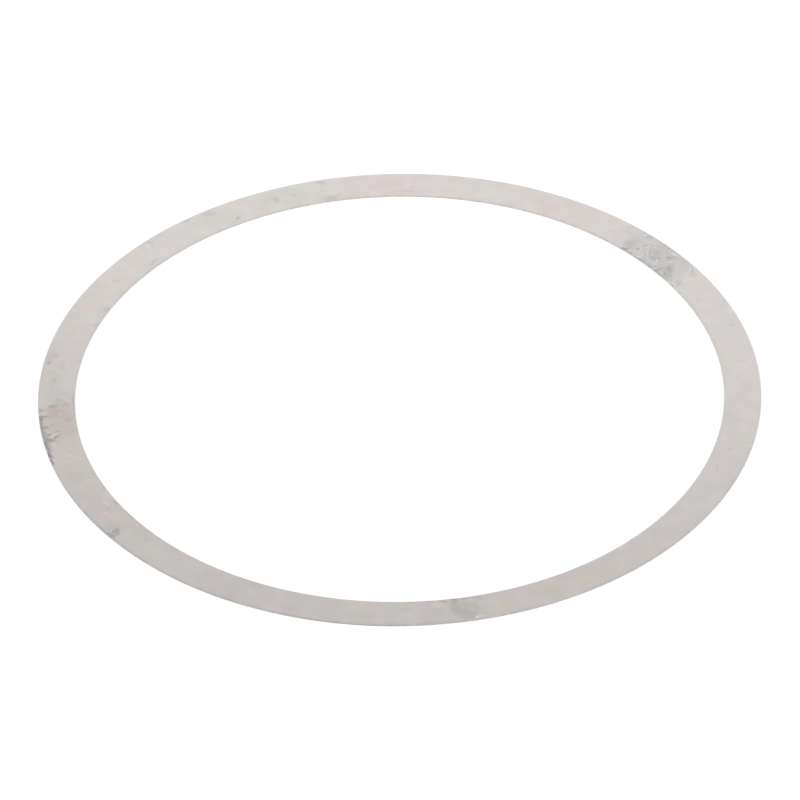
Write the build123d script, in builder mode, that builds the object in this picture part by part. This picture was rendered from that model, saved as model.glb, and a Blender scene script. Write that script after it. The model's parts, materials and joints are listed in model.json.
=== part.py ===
from build123d import *

import os

# A shim ring: a thin flat ring punched from cold rolled steel strip, used to take up end play
# beside a bearing, gear or hub. It lies on z = 0 with its axis on Z, in millimetres.

# Driving dimensions
bore_diameter = 88.0
band_width = 5.0
thickness = 0.1
# One compound punch stroke cuts both rims, so both roll over at the upper face.
die_roll_radius = 0.03
# The same stroke raises its burr at the lower face, and tumbling takes the burr off.
deburred_edge = 0.01

bore_radius = bore_diameter / 2
outside_radius = bore_radius + band_width

with BuildPart() as shim_ring:
    # Blank: the flat band of strip between the bore and the outer rim
    with BuildSketch(Plane.XY):
        Circle(outside_radius)
        Circle(bore_radius, mode=Mode.SUBTRACT)
    extrude(amount=thickness)

    # Edges: rounded where the punch drew the strip in, slightly broken on the burr side
    lower_edges, upper_edges = shim_ring.edges().filter_by(GeomType.CIRCLE).group_by(Axis.Z)
    fillet(upper_edges, radius=die_roll_radius)
    chamfer(lower_edges, length=deburred_edge)

shim_ring.part.label = "shim_ring"

os.makedirs("parts", exist_ok=True)
export_step(shim_ring.part, "parts/shim_ring.step")
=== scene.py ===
import json
import math
from collections import namedtuple

import bpy
from mathutils import Matrix, Vector


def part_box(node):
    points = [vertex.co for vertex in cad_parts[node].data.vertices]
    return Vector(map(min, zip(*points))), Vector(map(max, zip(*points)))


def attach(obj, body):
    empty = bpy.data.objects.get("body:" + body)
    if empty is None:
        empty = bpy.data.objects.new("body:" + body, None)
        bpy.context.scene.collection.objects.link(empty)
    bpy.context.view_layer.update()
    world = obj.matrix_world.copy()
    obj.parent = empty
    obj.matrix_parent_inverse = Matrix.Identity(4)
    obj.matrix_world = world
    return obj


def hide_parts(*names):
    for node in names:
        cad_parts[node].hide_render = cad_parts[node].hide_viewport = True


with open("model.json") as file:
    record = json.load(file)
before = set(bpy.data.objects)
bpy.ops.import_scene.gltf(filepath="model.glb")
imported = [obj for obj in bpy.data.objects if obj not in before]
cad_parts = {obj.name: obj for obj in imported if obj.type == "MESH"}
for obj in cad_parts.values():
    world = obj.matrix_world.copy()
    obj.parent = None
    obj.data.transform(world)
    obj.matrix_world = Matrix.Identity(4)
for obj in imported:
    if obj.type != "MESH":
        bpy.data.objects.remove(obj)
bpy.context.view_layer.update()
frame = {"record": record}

MM = 0.001
WHITE = (1.0, 1.0, 1.0, 1.0)

# A smooth step from low at start to high at end
Fade = namedtuple("Fade", "start end low high")

# The photograph's frame, and where the ring's upper face lies in it
IMAGE_SIDE_PX = 800
RING_CENTRE_PX = (399.56, 395.93)
OUTSIDE_RADIUS_PX = 361.50

# The photographer's long lens, looking down along +Y
VIEW_ELEVATION = math.radians(38.674)
VIEW_ROLL = math.radians(0.805)
VIEW_DISTANCE_IN_RADII = 47.8
SENSOR_MM = 36.0

# The softbox: how far off the mirrored view meets its upper edge, its width and height, and its lean
SOFTBOX_DISTANCE = 0.15
SOFTBOX_SIZE = (0.30, 0.15)
SOFTBOX_LEAN = math.radians(9.4)
SOFTBOX_RADIANCE = 0.28

# The ring's sizes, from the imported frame
RING_LOW, RING_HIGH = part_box("shim_ring")
THICKNESS = RING_HIGH.z - RING_LOW.z
MOUNTS = {mount["name"]: mount for mount in frame["record"]["mounts"]}
OUTSIDE_RADIUS = MOUNTS["outer_rim"]["dims"]["r_mm"] * MM
BORE_RADIUS = MOUNTS["bore"]["dims"]["r_mm"] * MM
BAND = OUTSIDE_RADIUS - BORE_RADIUS
# Its two edge sizes, which the frame doesn't give, as in the part's source
DIE_ROLL = 0.03 * MM
DEBURRED_EDGE = 0.01 * MM

# The white paper under the ring, and how far its seen brightness is lifted to white
FLOOR_SIZE = 8.0
FLOOR_GAP = 0.01 * MM
PAPER = (0.86, 0.86, 0.86)
PAPER_LIFT = 0.2

# How finely the ring's mesh is cut, and the angle from which its edges stay sharp
STEPS_AROUND = 720
STEPS_ACROSS = 10
STEPS_ON_ROLL = 5
SHARP_ANGLE = math.radians(30)
# Into how many rows its skin is laid out for a flat map, and the gap between them in row lengths
MAP_ROWS = 5
MAP_GAP = 0.012

# The steel as it left the rolls
STEEL = (0.543, 0.513, 0.495)
STEEL_ROUGHNESS = 0.25
# The grain and the broader streaks of the rolls, how far they are drawn out, and how high and how
# strong the grain's relief is
GRAIN_SIZE = 0.07 * MM
STREAK_SIZE = 0.5 * MM
GRAIN_STRETCH = 40
GRAIN_HEIGHT = 0.002 * MM
GRAIN_RELIEF = 0.25
# The faint film on it: the size of its patches of hue, how far each swings, and its clouds
HUE_PATCHES = ((2.2 * MM, 0.040), (9.0 * MM, 0.018))
CLOUD_SIZE = 2.4 * MM
CLOUD_DETAIL = 3.0
# How far the lightness and the roughness swing to either side
CLOUD_SWING = 0.08
STREAK_SWING = 0.015
GRAIN_SWING = 0.02
GRAIN_ROUGHNESS_SWING = 0.04

# The painted shade along both edges, in dashes: its tint, its width, how much of that is its core, and
# its dashes
EDGE_SHADE = (0.86, 0.865, 0.87)
EDGE_SHADE_WIDTH = 0.50 * MM
EDGE_SHADE_CORE = 0.45
DASH_SIZE = 0.9 * MM
EDGE_DASHES = Fade(0.38, 0.62, 0.25, 1.0)
# A way across the ring, and how deep the painted shade is along it, in radii from the middle. The rim's
# is deepest at the near end, and the bore's at both ends
SHADED_WAY = (0.34, 0.94, 0)
RIM_SHADE_DEPTH = Fade(-0.6, -0.9, 0.20, 0.75)
BORE_SHADE_DEPTH = Fade(0.55, 0.9, 0.20, 0.65)

# The punched walls, darker round the outside than in the bore, and darker still in long stretches
OUTER_WALL_TONE = (0.66, 0.655, 0.64)
BORE_WALL_TONE = (0.78, 0.765, 0.745)
WALL_ROUGHNESS = 0.4
WALL_SHADE = (0.64, 0.64, 0.64)
WALL_DARK_CORE = 0.4
WALL_FLECKS = Fade(0.40, 0.60, 0.15, 0.5)
# The lines that the tool drew from face to face: how wide they are, the share of the height that
# their noise is given, which draws them out, and how far they swing the lightness to either side
TOOL_LINE_WIDTH = 0.05 * MM
TOOL_LINE_SQUEEZE = 0.15
TOOL_LINE_SWING = 0.15
# The torn top of a wall: the heights where it starts, how far the lines lower them, and its looks
TORN_TOP = Fade(0.045 * MM, 0.055 * MM, 0.0, 1.0)
TORN_RAGGEDNESS = 0.02 * MM
TORN_SHADE = (0.90, 0.90, 0.89)
TORN_ADDED_ROUGHNESS = 0.25

# How noise pushes the outlines of the marks about: the size of its features, and how far it pushes
MARK_WARPS = ((1.1 * MM, 0.45 * MM), (0.35 * MM, 0.10 * MM))

# What lies on the steel: the tint that it gives the metal, how much of a mark is its full core, and how
# much rougher it leaves the surface
Soil = namedtuple("Soil", "tint core roughness")
SOILS = {
    "grey film": Soil((0.903, 0.922, 0.940), 0.75, 0.05),
    "smear": Soil((0.950, 0.955, 0.955), 0.70, 0.02),
    "warm film": Soil((0.955, 0.912, 0.900), 0.70, 0.03),
    "mauve film": Soil((0.880, 0.825, 0.850), 0.40, 0.03),
    "smoke": Soil((0.745, 0.750, 0.770), 0.30, 0.06),
    "dark grease": Soil((0.660, 0.672, 0.680), 0.35, 0.05),
    "green grease": Soil((0.820, 0.860, 0.815), 0.35, 0.05),
    "blue grease": Soil((0.800, 0.848, 0.875), 0.35, 0.04),
    "olive grease": Soil((0.840, 0.845, 0.800), 0.35, 0.05),
    "brown stain": Soil((0.640, 0.600, 0.585), 0.25, 0.08),
    "dark rim strip": Soil((0.530, 0.520, 0.515), 0.35, 0.15),
    "wiped": Soil((1.220, 1.215, 1.220), 0.25, -0.04),
    "bare spot": Soil((1.420, 1.440, 1.440), 0.30, -0.04),
    "pink film": Soil((1.015, 0.972, 0.990), 0.10, 0.0),
    "green film": Soil((0.955, 0.985, 0.965), 0.10, 0.01),
    "ochre film": Soil((1.015, 0.985, 0.920), 0.10, 0.0),
}

# One mark on the upper face: where its middle lies, in degrees round the ring from +X and as a share of
# the band in from the rim, its length and width in millimetres, its lean from the rim's line towards the
# bore in degrees, and how strongly it shows
Mark = namedtuple("Mark", "degrees inward length width lean strength")

# A finger was pressed on the right of the far side, and dragged a little
FINGER_MARK = {
    "grey film": [
        Mark(39.9, 0.50, 12.4, 9.0, 0, 1.0),
    ],
    "green film": [
        Mark(47.2, 0.50, 5.4, 7.0, 0, 0.8),
        Mark(39.9, 0.85, 3.8, 1.6, 0, 0.6),
    ],
    "smear": [
        Mark(39.9, 0.45, 6.4, 5.6, 0, 1.0),
        Mark(40.4, 0.25, 1.2, 1.2, 0, 1.0),
        Mark(35.6, 0.72, 3.4, 2.4, -35, 1.0),
        Mark(33.1, 0.72, 2.0, 3.2, 0, 0.8),
        Mark(32.1, 0.86, 2.0, 1.4, 0, 1.0),
    ],
    "green grease": [
        Mark(34.9, 0.71, 2.6, 1.2, -32, 0.60),
        Mark(34.6, 0.86, 3.0, 1.6, -10, 0.75),
        Mark(32.4, 0.23, 1.9, 1.4, -35, 0.55),
        Mark(31.8, 0.77, 2.4, 1.6, -20, 0.65),
        Mark(33.0, 0.13, 1.5, 0.5, -38, 0.4),
    ],
    "olive grease": [
        Mark(35.9, 0.58, 2.4, 1.2, -55, 0.65),
        Mark(45.7, 0.68, 2.6, 1.9, 10, 0.34),
        Mark(44.9, 0.82, 1.4, 1.0, 30, 0.45),
    ],
    "blue grease": [
        Mark(40.0, 0.67, 1.8, 1.3, -42, 0.80),
        Mark(40.4, 0.90, 3.4, 1.0, 0, 0.40),
        Mark(47.2, 0.50, 6.0, 7.0, 0, 0.18),
        Mark(44.5, 0.11, 2.0, 1.2, 10, 0.65),
        Mark(44.4, 0.04, 2.0, 0.4, 0, 1.0),
        Mark(38.5, 0.04, 1.8, 0.3, 0, 0.8),
    ],
    "dark grease": [
        Mark(36.75, 0.36, 0.9, 0.4, -60, 0.45),
        Mark(36.4, 0.64, 2.6, 1.2, -62, 0.30),
        Mark(37.0, 0.85, 1.8, 1.1, 85, 0.55),
        Mark(37.1, 0.94, 0.8, 0.5, 0, 0.70),
        Mark(37.8, 0.20, 2.0, 0.7, 15, 0.38),
        Mark(38.35, 0.32, 1.3, 1.1, -20, 0.58),
        Mark(39.4, 0.54, 0.9, 0.6, -35, 0.85),
        Mark(39.65, 0.19, 1.2, 0.22, -51, 0.25),
        Mark(38.05, 0.88, 0.8, 0.7, 60, 0.60),
        Mark(41.6, 0.55, 2.4, 0.45, -48, 0.42),
        Mark(40.9, 0.45, 2.2, 1.3, -30, 0.25),
        Mark(41.8, 0.735, 1.0, 0.3, -42, 0.65),
        Mark(42.35, 0.32, 1.5, 0.3, 78, 0.45),
        Mark(43.4, 0.44, 0.9, 0.6, 30, 0.50),
        Mark(43.7, 0.69, 0.9, 0.5, 42, 0.90),
        Mark(33.5, 0.17, 2.0, 0.4, -40, 0.40),
        Mark(35.4, 0.87, 0.9, 0.3, -35, 0.80),
        Mark(31.9, 0.95, 0.5, 0.5, 0, 0.7),
        Mark(33.1, 0.87, 0.7, 0.3, -30, 0.5),
        Mark(45.3, 0.94, 1.4, 0.9, 10, 1.0),
        Mark(36.2, 0.965, 2.4, 0.4, 0, 0.50),
        Mark(38.8, 0.965, 2.0, 0.4, 0, 0.35),
        Mark(41.1, 0.965, 2.4, 0.4, 0, 0.50),
        Mark(42.5, 0.96, 0.6, 0.4, 0, 0.7),
        Mark(43.9, 0.965, 1.4, 0.4, 0, 0.45),
        Mark(40.15, 0.045, 0.6, 0.4, -40, 0.4),
        Mark(41.2, 0.045, 0.7, 0.35, -40, 0.5),
        Mark(45.8, 0.05, 0.4, 0.4, 0, 0.8),
    ],
    "brown stain": [
        Mark(47.4, 0.32, 1.8, 0.4, -10, 0.22),
    ],
    "wiped": [
        Mark(37.2, 0.38, 1.7, 0.45, 66, 0.85),
        Mark(38.6, 0.11, 1.8, 1.0, 0, 1.0),
        Mark(39.65, 0.14, 1.5, 0.32, -51, 1.0),
        Mark(39.3, 0.33, 0.6, 0.5, -30, 0.8),
        Mark(39.05, 0.68, 1.6, 0.35, -46, 1.0),
        Mark(39.4, 0.82, 3.0, 1.3, -12, 0.45),
        Mark(37.9, 0.91, 1.1, 0.7, 0, 1.0),
        Mark(42.0, 0.63, 1.9, 0.35, -46, 0.4),
        Mark(41.95, 0.28, 0.7, 0.6, 0, 0.55),
        Mark(42.8, 0.23, 0.6, 0.5, 0, 0.6),
        Mark(42.95, 0.46, 1.1, 0.4, 50, 0.65),
        Mark(43.5, 0.62, 0.5, 0.3, 0, 0.6),
        Mark(42.1, 0.78, 0.9, 0.3, -40, 0.8),
        Mark(42.15, 0.93, 0.5, 0.7, 0, 1.0),
        Mark(44.5, 0.89, 1.2, 0.4, 50, 0.7),
        Mark(34.0, 0.19, 1.8, 0.28, -38, 0.60),
        Mark(35.8, 0.94, 0.9, 0.5, -10, 0.5),
        Mark(32.2, 0.92, 0.6, 0.4, 0, 0.8),
        Mark(31.7, 0.88, 0.5, 0.3, -60, 0.8),
        Mark(45.5, 0.12, 0.7, 0.4, -40, 0.9),
    ],
}

# A stain on the left runs in from the rim in streaks
LEFT_STAIN = {
    "warm film": [
        Mark(185.6, 0.55, 8.6, 8.0, 0, 1.0),
        Mark(190.9, 0.30, 2.6, 1.8, 0, 0.6),
        Mark(200.5, 0.42, 4.0, 3.5, 0, 0.4),
    ],
    "mauve film": [
        Mark(183.0, 0.47, 3.4, 3.6, 0, 0.55),
        Mark(183.7, 0.70, 1.4, 1.4, 0, 0.40),
        Mark(181.3, 0.82, 1.6, 1.2, 0, 0.4),
    ],
    "green film": [
        Mark(192.2, 0.60, 4.4, 3.8, -15, 1.0),
        Mark(197.4, 0.50, 2.4, 1.8, 0, 0.8),
        Mark(179.7, 0.60, 1.4, 1.2, 0, 1.0),
    ],
    "smoke": [
        Mark(190.2, 0.11, 6.4, 0.8, 0, 0.85),
        Mark(191.7, 0.16, 3.2, 0.8, 0, 0.60),
        Mark(193.6, 0.10, 4.2, 0.7, 0, 0.70),
        Mark(180.3, 0.55, 2.0, 2.0, 0, 0.40),
        Mark(181.0, 0.72, 1.6, 1.4, 95, 0.55),
        Mark(180.4, 0.955, 5.0, 0.4, 0, 0.60),
        Mark(182.4, 0.07, 1.1, 1.0, 90, 0.8),
        Mark(185.3, 0.77, 2.2, 1.5, 90, 0.40),
    ],
    "brown stain": [
        Mark(181.4, 0.38, 2.2, 1.1, 112, 0.55),
        Mark(183.9, 0.50, 1.6, 0.7, 95, 0.12),
        Mark(183.95, 0.15, 1.2, 0.7, 90, 0.85),
        Mark(184.05, 0.30, 1.4, 0.7, 92, 0.18),
        Mark(186.95, 0.14, 1.3, 0.8, 90, 0.60),
        Mark(186.3, 0.34, 1.4, 0.6, 105, 0.25),
        Mark(188.25, 0.43, 1.2, 0.5, 116, 0.65),
        Mark(189.75, 0.35, 2.2, 0.6, 128, 0.70),
        Mark(190.5, 0.28, 1.2, 0.6, 110, 0.50),
    ],
    "dark grease": [
        Mark(188.75, 0.21, 1.1, 1.0, 0, 0.75),
        Mark(190.15, 0.18, 1.4, 1.1, 20, 0.85),
    ],
    # A dark strip along the rim on the left, darker in short stretches
    "dark rim strip": [
        Mark(191.0, 0.045, 13.0, 0.7, 0.3, 0.55),
        Mark(186.4, 0.045, 4.4, 0.6, 0, 0.60),
        Mark(184.6, 0.05, 2.0, 0.8, 0, 0.75),
        Mark(191.0, 0.045, 1.7, 0.5, 0, 0.9),
        Mark(192.3, 0.035, 2.8, 0.6, 0, 0.80),
        Mark(193.9, 0.040, 2.6, 0.6, 0, 1.0),
        Mark(195.6, 0.020, 2.6, 0.48, 0, 0.95),
    ],
    "ochre film": [
        Mark(196.0, 0.34, 4.8, 2.8, 10, 0.75),
    ],
    "wiped": [
        Mark(183.55, 0.61, 0.7, 0.65, 0, 1.0),
        Mark(182.9, 0.32, 0.9, 0.35, 0, 0.8),
        Mark(183.3, 0.13, 0.7, 0.9, 90, 0.5),
        Mark(189.5, 0.18, 0.9, 0.5, 90, 1.0),
        Mark(189.0, 0.37, 2.0, 0.45, 124, 0.65),
        Mark(188.25, 0.18, 0.4, 0.9, 0, 0.7),
        Mark(191.3, 0.26, 0.6, 0.8, 0, 0.65),
        Mark(191.95, 0.25, 0.5, 0.8, 0, 0.70),
        Mark(195.0, 0.57, 2.2, 0.45, 62, 0.45),
        Mark(195.5, 0.11, 0.7, 0.4, 0, 1.0),
    ],
}

# A dark crescent hangs from the rim on the lower left
CRESCENT = {
    "green grease": [
        Mark(216.6, 0.21, 2.6, 1.4, 112, 0.50),
        Mark(216.6, 0.08, 2.2, 1.0, 0, 0.5),
        Mark(221.2, 0.69, 1.2, 1.1, 0, 0.5),
    ],
    "blue grease": [
        Mark(214.8, 0.32, 3.0, 2.8, 0, 0.45),
        Mark(215.0, 0.15, 2.6, 1.4, 0, 0.40),
        Mark(216.6, 0.21, 2.8, 1.4, 112, 0.50),
    ],
    "dark grease": [
        Mark(216.8, 0.07, 2.2, 1.0, 0, 0.45),
        Mark(214.7, 0.945, 1.8, 0.6, 0, 0.30),
        Mark(216.1, 0.29, 1.8, 0.5, 93, 0.60),
        Mark(216.7, 0.27, 1.6, 0.6, 115, 0.30),
        Mark(214.6, 0.015, 3.2, 0.35, 0, 0.5),
        Mark(212.9, 0.05, 1.0, 0.35, 0, 0.5),
        Mark(209.8, 0.045, 0.6, 0.35, 0, 0.6),
        Mark(205.3, 0.945, 0.9, 0.3, -10, 0.6),
        Mark(207.8, 0.65, 1.0, 0.7, 0, 0.18),
        Mark(208.3, 0.78, 0.7, 0.4, 0, 0.20),
        Mark(209.2, 0.78, 0.7, 0.4, 0, 0.20),
        Mark(210.6, 0.66, 1.0, 1.2, 90, 0.20),
        Mark(209.8, 0.93, 1.3, 0.5, 0, 0.45),
        Mark(222.2, 0.93, 0.6, 0.3, -20, 0.4),
    ],
    "wiped": [
        Mark(211.3, 0.49, 0.9, 0.9, 0, 0.45),
        Mark(208.95, 0.72, 0.6, 0.5, 0, 0.6),
        Mark(208.35, 0.75, 0.5, 0.4, 0, 0.5),
        Mark(209.7, 0.72, 0.7, 0.6, 0, 0.4),
        Mark(215.9, 0.22, 0.5, 0.9, 0, 0.9),
        Mark(216.8, 0.90, 0.6, 0.4, -30, 0.8),
    ],
}

# A smudge crosses the band at the bottom
BOTTOM_SMUDGE = {
    "smear": [
        Mark(280.3, 0.50, 4.6, 5.6, 0, 1.0),
        Mark(283.2, 0.60, 2.4, 4.0, 0, 0.6),
    ],
    "blue grease": [
        Mark(280.3, 0.26, 3.2, 3.0, 0, 0.70),
    ],
    "green grease": [
        Mark(278.6, 0.60, 4.6, 1.8, 90, 0.60),
        Mark(282.3, 0.52, 3.4, 1.3, 90, 0.35),
        Mark(283.2, 0.82, 1.4, 1.0, 0, 0.3),
    ],
    "olive grease": [
        Mark(281.9, 0.25, 1.6, 0.9, 80, 0.50),
        Mark(279.2, 0.48, 2.0, 1.0, 90, 0.25),
    ],
    "smoke": [
        Mark(274.2, 0.10, 3.6, 0.6, 0, 0.18),
        Mark(280.4, 0.62, 3.4, 3.6, 0, 0.30),
        Mark(282.9, 0.88, 2.6, 0.6, -5, 0.40),
        Mark(277.2, 0.90, 2.2, 0.6, -12, 0.40),
    ],
    "green film": [
        Mark(275.8, 0.62, 3.2, 3.0, 0, 0.9),
        Mark(282.6, 0.15, 1.8, 1.4, 0, 0.9),
    ],
    "dark grease": [
        Mark(279.1, 0.86, 1.1, 1.0, 90, 0.50),
        Mark(278.9, 0.945, 1.7, 0.45, -5, 0.80),
        Mark(280.6, 0.945, 1.0, 0.4, 0, 0.75),
        Mark(277.1, 0.92, 2.0, 0.4, -12, 0.40),
        Mark(274.4, 0.96, 1.6, 0.3, -5, 0.50),
        Mark(282.8, 0.92, 2.4, 0.45, -5, 0.30),
        Mark(270.5, 0.66, 1.6, 1.0, 0, 0.18),
        Mark(275.6, 0.15, 2.2, 0.5, -5, 0.15),
    ],
    "wiped": [
        Mark(282.6, 0.12, 1.4, 0.9, 0, 0.60),
        Mark(282.0, 0.86, 1.9, 0.4, -8, 0.9),
        Mark(275.9, 0.78, 2.4, 2.0, 0, 0.25),
    ],
    "bare spot": [
        Mark(281.75, 0.085, 0.62, 0.42, 0, 1.0),
    ],
}

# Small spots, nicks and specks elsewhere
SMALL_SPOTS = {
    "blue grease": [
        Mark(101.4, 0.84, 3.4, 1.6, 5, 0.60),
        Mark(98.0, 0.90, 3.0, 0.5, 0, 0.40),
    ],
    "green grease": [
        Mark(170.5, 0.50, 2.4, 1.3, 15, 0.45),
        Mark(122.4, 0.17, 2.8, 1.8, -20, 0.60),
        Mark(126.4, 0.06, 2.6, 0.8, 0, 0.70),
        Mark(119.8, 0.86, 1.8, 0.8, 0, 0.50),
    ],
    "brown stain": [
        Mark(168.2, 0.15, 3.6, 1.9, 0, 0.22),
        Mark(110.9, 0.47, 1.3, 2.6, -8, 0.32),
    ],
    "dark grease": [
        Mark(17.5, 0.22, 1.1, 0.7, 60, 0.18),
        Mark(26.3, 0.67, 1.1, 0.8, 30, 0.18),
        Mark(89.0, 0.81, 9.0, 0.4, 0, 0.20),
        Mark(101.8, 0.84, 4.6, 2.0, 5, 0.15),
        Mark(99.9, 0.72, 1.4, 0.6, 10, 0.22),
        Mark(102.5, 0.14, 2.4, 0.9, -20, 0.40),
        Mark(107.7, 0.48, 1.2, 1.0, 50, 0.30),
        Mark(118.8, 0.77, 1.1, 1.0, 40, 0.62),
        Mark(134.6, 0.18, 0.6, 2.4, 0, 0.30),
        Mark(138.2, 0.81, 2.6, 0.6, 14, 0.35),
        Mark(139.2, 0.42, 1.2, 0.4, -10, 0.20),
        Mark(145.9, 0.50, 0.7, 1.8, 10, 0.30),
        Mark(153.2, 0.90, 1.6, 0.9, 10, 0.30),
        Mark(158.3, 0.90, 1.0, 0.8, 0, 0.30),
        Mark(170.2, 0.15, 1.3, 0.9, 10, 0.65),
        Mark(168.1, 0.30, 0.8, 1.4, 10, 0.35),
        Mark(174.7, 0.38, 2.0, 1.1, 0, 0.22),
        Mark(344.3, 0.57, 0.7, 1.2, 10, 0.22),
        Mark(346.7, 0.18, 1.1, 1.0, 0, 0.22),
        Mark(339.0, 0.65, 2.4, 0.8, 10, 0.18),
    ],
    "wiped": [
        Mark(88.3, 0.50, 1.6, 1.7, 0, 0.25),
        Mark(85.3, 0.45, 2.0, 1.8, 0, 0.15),
        Mark(135.6, 0.20, 0.6, 2.2, 0, 0.40),
        Mark(161.2, 0.55, 0.7, 1.4, 0, 0.30),
        Mark(156.0, 0.12, 0.9, 0.6, 0, 0.50),
        Mark(169.9, 0.44, 1.0, 0.4, 0, 0.35),
        Mark(78.5, 0.09, 0.8, 0.4, 0, 0.50),
        Mark(73.0, 0.88, 0.6, 0.7, 0, 0.60),
        Mark(63.6, 0.88, 0.6, 0.6, 0, 0.50),
        Mark(301.4, 0.14, 0.5, 0.4, 0, 1.0),
        Mark(306.9, 0.13, 0.5, 0.4, 0, 0.80),
        Mark(311.4, 0.93, 0.5, 0.4, 0, 1.0),
        Mark(347.2, 0.80, 2.0, 0.3, 10, 0.40),
        Mark(346.9, 0.87, 1.7, 0.3, 10, 0.40),
    ],
}

# Long stretches of the outer wall, on the near left, that are darker
WALL_DARK_STRETCHES = [
    Mark(190.0, 0.0, 16.0, 5.0, 0, 1.0),
    Mark(208.0, 0.0, 18.0, 5.0, 0, 0.6),
    Mark(236.0, 0.0, 20.0, 5.0, 0, 0.7),
    Mark(262.0, 0.0, 26.0, 6.0, 0, 1.0),
]

# Thin films of oil and oxide that tint long stretches of the band
FILMS = {
    "smear": [
        Mark(14.0, 0.50, 12.0, 7.0, 0, 0.25),
        Mark(60.0, 0.50, 12.0, 7.0, 0, 0.25),
        Mark(214.0, 0.50, 16.0, 7.0, 0, 0.25),
        Mark(241.0, 0.50, 13.0, 7.0, 0, 0.50),
        Mark(255.0, 0.50, 12.0, 7.0, 0, 0.25),
    ],
    "wiped": [
        Mark(330.0, 0.50, 15.0, 7.0, 0, 0.11),
        Mark(45.0, 0.50, 10.0, 7.0, 0, 0.04),
    ],
    "pink film": [
        Mark(357.0, 0.50, 14.0, 7.0, 0, 0.8),
        Mark(25.0, 0.50, 9.0, 6.0, 0, 1.0),
        Mark(62.0, 0.50, 14.0, 7.0, 0, 1.0),
        Mark(90.0, 0.50, 20.0, 8.0, 0, 1.0),
        Mark(155.0, 0.40, 3.0, 3.0, 0, 0.9),
        Mark(246.5, 0.35, 5.0, 3.5, 0, 0.8),
        Mark(259.0, 0.35, 2.2, 2.0, 0, 0.6),
        Mark(209.0, 0.45, 14.0, 5.0, 0, 0.8),
    ],
    "green film": [
        Mark(109.0, 0.50, 14.0, 7.0, 0, 0.8),
        Mark(122.0, 0.50, 9.0, 7.0, 0, 0.6),
        Mark(176.5, 0.30, 5.0, 5.0, 0, 0.6),
        Mark(253.0, 0.50, 6.0, 6.0, 0, 0.5),
        Mark(332.0, 0.60, 4.2, 3.4, 0, 0.6),
        Mark(339.3, 0.60, 3.0, 2.0, 0, 0.6),
        Mark(243.5, 0.80, 4.0, 2.4, 0, 0.8),
    ],
    "ochre film": [
        Mark(150.0, 0.45, 14.0, 6.0, 0, 0.55),
        Mark(286.6, 0.40, 3.6, 3.2, 0, 0.9),
        Mark(303.5, 0.55, 8.0, 5.0, 0, 0.9),
        Mark(295.5, 0.45, 6.0, 5.0, 0, 0.7),
    ],
}


class Shading:
    """Adds nodes to one new material. A value given to a node is a number, a tuple or a node's output."""

    # The sockets of a Mix node that mixes colours
    MIX_AMOUNT, MIX_FIRST, MIX_SECOND, MIX_RESULT = 0, 6, 7, 2

    def __init__(self, name):
        self.material = bpy.data.materials.new(name)
        self.material.use_nodes = True
        self.tree = self.material.node_tree

    def finished(self, values):
        """The material, with these inputs of its shader set."""
        shader = self.tree.nodes["Principled BSDF"]
        for name, value in values.items():
            self.give(shader.inputs[name], value)
        return self.material

    def node(self, kind, values=(), **settings):
        made = self.tree.nodes.new("ShaderNode" + kind)
        for name, setting in settings.items():
            setattr(made, name, setting)
        for key, value in dict(values).items():
            self.give(made.inputs[key], value)
        return made

    def give(self, socket, value):
        if isinstance(value, bpy.types.NodeSocket):
            self.tree.links.new(value, socket)
        else:
            socket.default_value = value

    def math(self, operation, *values):
        return self.node("Math", enumerate(values), operation=operation).outputs[0]

    def vector(self, operation, *values):
        made = self.node("VectorMath", enumerate(values), operation=operation)
        return made.outputs["Value" if operation in ("LENGTH", "DOT_PRODUCT") else "Vector"]

    def fade(self, value, start, end, low=0.0, high=1.0):
        """A smooth step from low at start to high at end."""
        values = {"Value": value, "From Min": start, "From Max": end, "To Min": low, "To Max": high}
        step = self.node("MapRange", values, interpolation_type="SMOOTHSTEP", clamp=False)
        return step.outputs["Result"]

    def noise(self, place, size, detail=2.0, output="Fac"):
        """Noise whose features are about `size` metres across."""
        values = {"Vector": place, "Scale": 1 / size, "Detail": detail}
        return self.node("TexNoise", values).outputs[output]

    def swung(self, value, reach, middle=1.0):
        """A value from 0 to 1, made to swing as far as reach to either side of the middle."""
        return self.math("MULTIPLY_ADD", value, 2 * reach, middle - reach)

    def wandering(self, place, size, reach, middle):
        """Three channels of noise that each swing as far as reach to either side of the middle."""
        noise = self.noise(place, size, output="Color")
        return self.vector("MULTIPLY_ADD", noise, (2 * reach,) * 3, (middle - reach,) * 3)

    def tinted(self, colour, tint, amount):
        """The colour, multiplied by the tint where amount is 1."""
        values = {self.MIX_AMOUNT: amount, self.MIX_FIRST: colour, self.MIX_SECOND: (*tint, 1.0)}
        mixed = self.node("Mix", values, data_type="RGBA", blend_type="MULTIPLY")
        return mixed.outputs[self.MIX_RESULT]

    def blot(self, place, mark, core):
        """How much of a mark lies at a place: its strength in the core, fading to 0 at its edge."""
        angle = math.radians(mark.degrees)
        radius = OUTSIDE_RADIUS - mark.inward * BAND
        values = {
            "Vector": place,
            "Location": (radius * math.cos(angle), radius * math.sin(angle), 0),
            "Rotation": (0, 0, angle + math.radians(90 + mark.lean)),
            "Scale": (mark.length / 2 * MM, mark.width / 2 * MM, 1),
        }
        own = self.node("Mapping", values, vector_type="TEXTURE").outputs["Vector"]
        inside = self.node("TexGradient", {"Vector": own}, gradient_type="SPHERICAL").outputs["Fac"]
        return self.fade(inside, 0.0, 1.0 - core, high=mark.strength)

    def widest(self, amounts):
        """The largest of several amounts at each place."""
        total = amounts[0]
        for amount in amounts[1:]:
            total = self.math("MAXIMUM", total, amount)
        return total


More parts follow.
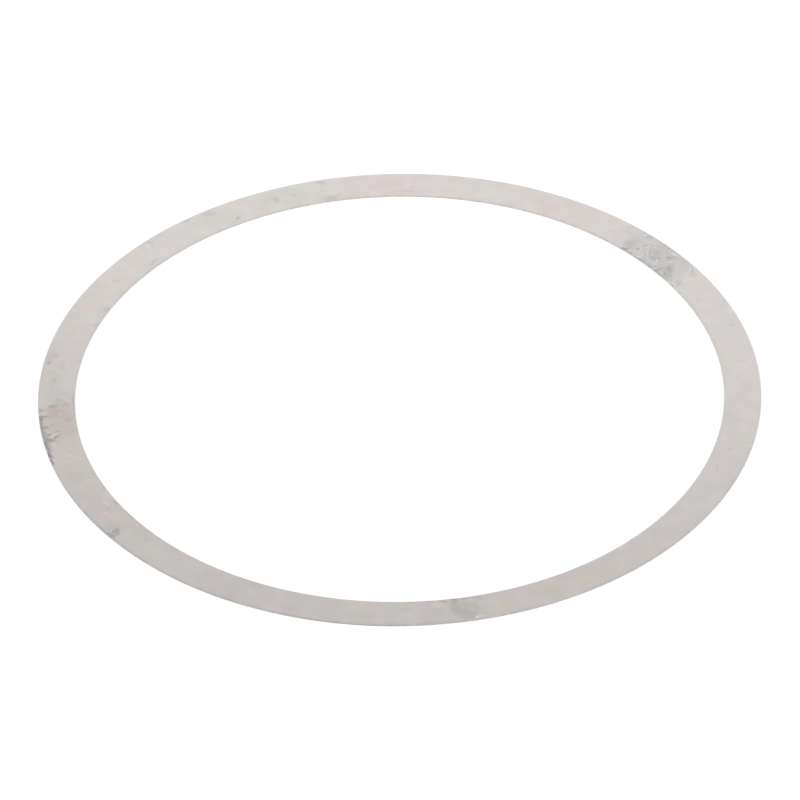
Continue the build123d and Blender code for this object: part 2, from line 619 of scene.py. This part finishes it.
def edge_shade(s, from_edge, aside, radius, depth):
    """How strong an edge's painted shade is, by the distance from the edge and the way across the ring.
    """
    beside = s.fade(from_edge, EDGE_SHADE_WIDTH, EDGE_SHADE_CORE * EDGE_SHADE_WIDTH)
    deep = s.fade(aside, depth.start * radius, depth.end * radius, depth.low, depth.high)
    return s.math("MULTIPLY", beside, deep)


def satin_steel():
    """Cold rolled steel: a fine grain along X, a faint mottled film, the soil on the upper face, and
    painted shade along its edges.
    """
    s = Shading("satin_steel")
    texture = s.node("TexCoord")
    place = texture.outputs["Object"]
    facing = s.node("SeparateXYZ", {"Vector": texture.outputs["Normal"]}).outputs["Z"]
    upper = s.math("GREATER_THAN", facing, 0.0)

    # The grain of the rolls runs along X
    along_grain = s.vector("MULTIPLY", place, (1 / GRAIN_STRETCH, 1, 1))
    grain = s.noise(along_grain, GRAIN_SIZE)
    streaks = s.noise(along_grain, STREAK_SIZE)

    # The film: faint patches of hue and clouds of lightness, with the streaks and the grain over them
    colour = STEEL
    for size, swing in HUE_PATCHES:
        colour = s.vector("MULTIPLY", s.wandering(place, size, swing, middle=1.0), colour)
    lightness = s.swung(s.noise(place, CLOUD_SIZE, CLOUD_DETAIL), CLOUD_SWING)
    lightness = s.math("MULTIPLY", lightness, s.swung(streaks, STREAK_SWING))
    lightness = s.math("MULTIPLY", lightness, s.swung(grain, GRAIN_SWING))
    colour = s.vector("MULTIPLY", colour, lightness)
    roughness = s.swung(grain, GRAIN_ROUGHNESS_SWING, middle=STEEL_ROUGHNESS)

    # The soil
    pushed = place
    for size, reach in MARK_WARPS:
        pushed = s.vector("ADD", pushed, s.wandering(pushed, size, reach, middle=0.0))
    soiled = colour
    for group in (FILMS, FINGER_MARK, LEFT_STAIN, CRESCENT, BOTTOM_SMUDGE, SMALL_SPOTS):
        for name, marks in group.items():
            soil = SOILS[name]
            amount = s.widest([s.blot(pushed, mark, soil.core) for mark in marks])
            soiled = s.tinted(soiled, soil.tint, amount)
            if soil.roughness:
                change = s.math("MULTIPLY", amount, soil.roughness)
                roughness = s.math("ADD", roughness, s.math("MULTIPLY", change, upper))
    colour = s.vector("MULTIPLY_ADD", s.vector("SUBTRACT", soiled, colour), upper, colour)

    # Both edges are a little darker with painted shade, in dashes, beside the die roll where the punch
    # drew the steel in
    across = s.vector("LENGTH", s.vector("MULTIPLY", place, (1, 1, 0)))
    aside = s.vector("DOT_PRODUCT", place, SHADED_WAY)
    from_rim = s.math("SUBTRACT", OUTSIDE_RADIUS, across)
    from_bore = s.math("SUBTRACT", across, BORE_RADIUS)
    at_rim = edge_shade(s, from_rim, aside, OUTSIDE_RADIUS, RIM_SHADE_DEPTH)
    at_bore = edge_shade(s, from_bore, s.math("ABSOLUTE", aside), BORE_RADIUS, BORE_SHADE_DEPTH)
    dashes = s.fade(s.noise(place, DASH_SIZE), *EDGE_DASHES)
    shade = s.math("MULTIPLY", s.math("MAXIMUM", at_rim, at_bore), dashes)

    bump = s.node("Bump", {"Height": grain, "Strength": GRAIN_RELIEF, "Distance": GRAIN_HEIGHT})
    return s.finished({
        "Base Color": s.tinted(colour, EDGE_SHADE, shade),
        "Roughness": roughness,
        "Metallic": 1.0,
        "Normal": bump.outputs["Normal"],
    })


def cut_wall(name, colour):
    """A punched wall: a smooth foot and a torn, duller top, lined by the tool from face to face."""
    s = Shading(name)
    place = s.node("TexCoord").outputs["Object"]
    dark_stretches = s.widest([s.blot(place, mark, WALL_DARK_CORE) for mark in WALL_DARK_STRETCHES])
    flecks = s.fade(s.noise(place, DASH_SIZE), *WALL_FLECKS)
    darkened = s.tinted(s.tinted((*colour, 1.0), WALL_SHADE, dark_stretches), WALL_SHADE, flecks)
    height = s.node("SeparateXYZ", {"Vector": place}).outputs["Z"]
    lines = s.noise(s.vector("MULTIPLY", place, (1, 1, TOOL_LINE_SQUEEZE)), TOOL_LINE_WIDTH)
    torn = s.fade(s.math("ADD", height, s.math("MULTIPLY", lines, TORN_RAGGEDNESS)), *TORN_TOP)
    lined = s.vector("MULTIPLY", s.swung(lines, TOOL_LINE_SWING), darkened)
    return s.finished({
        "Base Color": s.tinted(lined, TORN_SHADE, torn),
        "Roughness": s.math("MULTIPLY_ADD", torn, TORN_ADDED_ROUGHNESS, WALL_ROUGHNESS),
        "Metallic": 1.0,
    })


def placed(name, data):
    """A new object in the scene."""
    made = bpy.data.objects.new(name, data)
    bpy.context.scene.collection.objects.link(made)
    return made


def ring_section():
    """The band's closed section as (radius, height), out over the upper face and back under the lower."""
    inner, outer = BORE_RADIUS + DIE_ROLL, OUTSIDE_RADIUS - DIE_ROLL
    across = [inner + (outer - inner) * i / STEPS_ACROSS for i in range(STEPS_ACROSS + 1)]
    roll_height = THICKNESS - DIE_ROLL
    roll = [math.pi / 2 * i / STEPS_ON_ROLL for i in range(1, STEPS_ON_ROLL + 1)]
    points = [(r, THICKNESS) for r in across]
    points += [(outer + DIE_ROLL * math.sin(a), roll_height + DIE_ROLL * math.cos(a)) for a in roll]
    points += [(OUTSIDE_RADIUS, DEBURRED_EDGE), (OUTSIDE_RADIUS - DEBURRED_EDGE, 0.0)]
    points += [(r, 0.0) for r in reversed(across[1:-1])]
    points += [(BORE_RADIUS + DEBURRED_EDGE, 0.0), (BORE_RADIUS, DEBURRED_EDGE)]
    roll.reverse()
    points += [(inner - DIE_ROLL * math.sin(a), roll_height + DIE_ROLL * math.cos(a)) for a in roll]
    return points


def sides(section):
    """The two ends of each side of a closed section, in turn."""
    return list(zip(section, section[1:] + section[:1]))


def revolved(name, section, steps):
    """A closed ring mesh: the section turned once round Z. Its flat map lays the skin out in rows."""
    count = len(section)
    vertices = []
    for i in range(steps):
        angle = 2 * math.pi * i / steps
        vertices += [(r * math.cos(angle), r * math.sin(angle), z) for r, z in section]
    girth = [0.0]
    for (r, z), (next_r, next_z) in sides(section):
        girth.append(girth[-1] + math.hypot(next_r - r, next_z - z))
    steps_in_row = steps // MAP_ROWS
    row_length = 2 * math.pi * OUTSIDE_RADIUS / MAP_ROWS
    faces, places_on_map = [], []
    for i in range(steps):
        here, there = i * count, (i + 1) % steps * count
        row, step = divmod(i, steps_in_row)
        left, right = step / steps_in_row, (step + 1) / steps_in_row
        foot = row * (girth[-1] / row_length + MAP_GAP)
        for j in range(count):
            k = (j + 1) % count
            faces.append((here + j, here + k, there + k, there + j))
            low, high = foot + girth[j] / row_length, foot + girth[j + 1] / row_length
            places_on_map += [left, low, left, high, right, high, right, low]
    mesh = bpy.data.meshes.new(name)
    mesh.from_pydata(vertices, [], faces)
    mesh.uv_layers.new(name="OFBake").data.foreach_set("uv", places_on_map)
    mesh.update()
    return placed(name, mesh)


def make_ring():
    """The ring: steel on its faces and edges, and cut walls round the outside and in the bore."""
    section = ring_section()
    ring = revolved("ring", section, STEPS_AROUND)
    ring.data.materials.append(satin_steel())
    ring.data.materials.append(cut_wall("rim_wall", OUTER_WALL_TONE))
    ring.data.materials.append(cut_wall("bore_wall", BORE_WALL_TONE))
    face, rim_wall, bore_wall = range(3)
    materials = []
    for (r, z), (next_r, next_z) in sides(section):
        steep = abs(next_z - z) > abs(next_r - r)
        wall = rim_wall if r > BORE_RADIUS + BAND / 2 else bore_wall
        materials.append(wall if steep else face)
    for polygon in ring.data.polygons:
        polygon.use_smooth = True
        polygon.material_index = materials[polygon.index % len(section)]
    ring.data.set_sharp_from_angle(angle=SHARP_ANGLE)
    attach(ring, "root")
    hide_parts("shim_ring")


def make_camera():
    """The photograph's view: the ring's centre falls on its pixel without any lens shift."""
    distance = VIEW_DISTANCE_IN_RADII * OUTSIDE_RADIUS
    forward = Vector((0, math.cos(VIEW_ELEVATION), -math.sin(VIEW_ELEVATION)))
    up = Vector((0, math.sin(VIEW_ELEVATION), math.cos(VIEW_ELEVATION)))
    right = Vector((1, 0, 0))
    roll = Matrix.Rotation(VIEW_ROLL, 4, forward)
    right, up = roll @ right, roll @ up
    metres_per_px = OUTSIDE_RADIUS / OUTSIDE_RADIUS_PX
    aside = IMAGE_SIDE_PX / 2 - RING_CENTRE_PX[0]
    above = RING_CENTRE_PX[1] - IMAGE_SIDE_PX / 2
    aim = Vector((0, 0, THICKNESS)) + (right * aside + up * above) * metres_per_px
    data = bpy.data.cameras.new("camera")
    data.sensor_fit = "HORIZONTAL"
    data.sensor_width = SENSOR_MM
    data.lens = SENSOR_MM * distance / (IMAGE_SIDE_PX * metres_per_px)
    data.clip_start = distance / 10
    data.clip_end = distance * 10
    camera = placed("camera", data)
    camera.location = aim - forward * distance
    camera.rotation_euler = Matrix((right, up, -forward)).transposed().to_euler()
    bpy.context.scene.camera = camera


def make_floor():
    """White paper that shows white to the camera and in reflections, and keeps the ring's shadow."""
    half = FLOOR_SIZE / 2
    square = ((-half, -half), (half, -half), (half, half), (-half, half))
    mesh = bpy.data.meshes.new("floor")
    mesh.from_pydata([(x, y, -FLOOR_GAP) for x, y in square], [], [(0, 1, 2, 3)])
    floor = placed("floor", mesh)
    s = Shading("white_paper")
    rays = s.node("LightPath").outputs
    seen = s.widest([rays[kind] for kind in ("Is Camera Ray", "Is Glossy Ray", "Is Transmission Ray")])
    paper = s.finished({
        "Base Color": (*PAPER, 1.0),
        "Roughness": 1.0,
        "Specular IOR Level": 0.0,
        "Emission Color": WHITE,
        "Emission Strength": s.math("MULTIPLY", seen, PAPER_LIFT),
    })
    floor.data.materials.append(paper)


def make_softbox():
    """A wide soft panel that the far side of the ring mirrors to the camera and the near side misses."""
    mirrored = Vector((0, math.cos(VIEW_ELEVATION), math.sin(VIEW_ELEVATION)))
    panel_up = Vector((0, -math.sin(VIEW_ELEVATION), math.cos(VIEW_ELEVATION)))
    turn = Matrix.Rotation(-SOFTBOX_LEAN, 4, mirrored)
    side, panel_up = turn @ Vector((-1, 0, 0)), turn @ panel_up
    width, height = SOFTBOX_SIZE
    data = bpy.data.lights.new("softbox", "AREA")
    data.shape = "RECTANGLE"
    data.size, data.size_y = width, height
    data.energy = SOFTBOX_RADIANCE * math.pi * width * height
    light = placed("softbox", data)
    light.location = mirrored * SOFTBOX_DISTANCE - panel_up * (height / 2)
    light.rotation_euler = Matrix((side, panel_up, mirrored)).transposed().to_euler()
    light.visible_camera = False


def make_world():
    """An even white room."""
    world = bpy.data.worlds.new("room")
    world.use_nodes = True
    background = world.node_tree.nodes["Background"]
    background.inputs["Color"].default_value = WHITE
    background.inputs["Strength"].default_value = 1.0
    bpy.context.scene.world = world


make_camera()
make_world()
make_softbox()
make_floor()
make_ring()
bpy.context.scene.view_settings.view_transform = "Standard"
